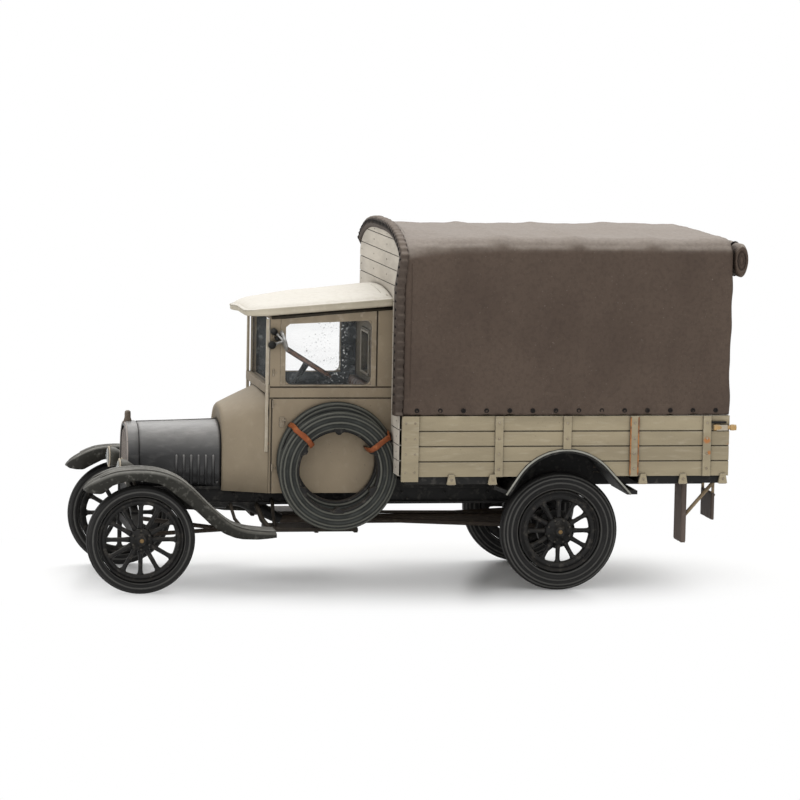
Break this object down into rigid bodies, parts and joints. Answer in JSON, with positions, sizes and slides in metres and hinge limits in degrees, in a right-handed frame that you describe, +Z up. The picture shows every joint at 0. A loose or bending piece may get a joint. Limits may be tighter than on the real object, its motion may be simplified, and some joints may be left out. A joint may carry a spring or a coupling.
{
  "type": "scale model of an early army cargo truck",
  "caption": "Small-scale model of an early light army truck with closed cab, spoked wheels, plank bed and canvas tilt.",
  "frame": {"origin": "on the floor, below the middle of the overall length and width", "axes": "+X to the radiator, +Y to the driver's side (left), +Z up"},
  "size_m": [0.0568, 0.0228, 0.0318],
  "materials": {
    "black_paint": "brushed matt black paint with grey edges",
    "brown_paint": "matt brown paint",
    "canvas_paint": "dark brown painted canvas, moulded",
    "glass": "thin clear film",
    "grey_green": "matt greyish khaki paint with dark washed grooves",
    "roof_paint": "pale matt khaki, almost white where dusted",
    "steel_bit": "silver painted bracket",
    "strap": "orange brown painted straps",
    "tyre": "matt dark grey paint, lighter on the raised rings"
  },
  "bodies": {
    "truck": {"bed_bearers": "black_paint", "bed_floor": "grey_green", "bed_side_left": "grey_green", "bed_side_right": "grey_green", "bonnet": "black_paint", "cab_floor": "grey_green", "cab_glass": "glass", "cab_rear_wall": "grey_green", "cab_roof": "roof_paint", "cab_side_left": "grey_green", "cab_side_right": "grey_green", "canvas_tilt": "canvas_paint", "chassis_frame": "black_paint", "cowl": "grey_green", "curtain_roll": "canvas_paint", "engine_block": "black_paint", "filler_cap": "black_paint", "front_axle": "black_paint", "front_mudguard_left": "black_paint", "front_mudguard_right": "black_paint", "front_spring": "black_paint", "headboard": "grey_green", "headlamp_left": "black_paint", "headlamp_right": "black_paint", "mud_flap": "brown_paint", "radiator": "black_paint", "radius_rods": "black_paint", "rear_axle": "black_paint", "rear_mudguard_left": "black_paint", "rear_mudguard_right": "black_paint", "rear_spring": "black_paint", "running_board_left": "black_paint", "running_board_right": "black_paint", "seat_bench": "brown_paint", "side_mirror": "steel_bit", "spare_straps": "strap", "spare_tyre_inner": "tyre", "spare_tyre_outer": "tyre", "steering_column": "brown_paint", "tail_board": "brown_paint", "tailgate": "grey_green", "tailgate_latches": "strap", "torque_tube": "black_paint", "windscreen_frame": "grey_green"},
    "front_left_wheel": {"front_tyre_left": "tyre", "front_wheel_left": "black_paint"},
    "front_right_wheel": {"front_tyre_right": "tyre", "front_wheel_right": "black_paint"},
    "rear_left_wheel": {"rear_tyre_left": "tyre", "rear_wheel_left": "black_paint"},
    "rear_right_wheel": {"rear_tyre_right": "tyre", "rear_wheel_right": "black_paint"}
  },
  "joints": [
    {"name": "front_left_wheel_spin", "type": "hinge", "parent": "truck", "child": "front_left_wheel", "pos_m": [0.0235, 0.00825, 0.00464], "axis": [0, 1, 0], "continuous": true},
    {"name": "front_right_wheel_spin", "type": "hinge", "parent": "truck", "child": "front_right_wheel", "pos_m": [0.0235, -0.00825, 0.00464], "axis": [0, 1, 0], "continuous": true},
    {"name": "rear_left_wheel_spin", "type": "hinge", "parent": "truck", "child": "rear_left_wheel", "pos_m": [-0.0127, 0.00825, 0.00513], "axis": [0, 1, 0], "continuous": true},
    {"name": "rear_right_wheel_spin", "type": "hinge", "parent": "truck", "child": "rear_right_wheel", "pos_m": [-0.0127, -0.00825, 0.00513], "axis": [0, 1, 0], "continuous": true}
  ]
}
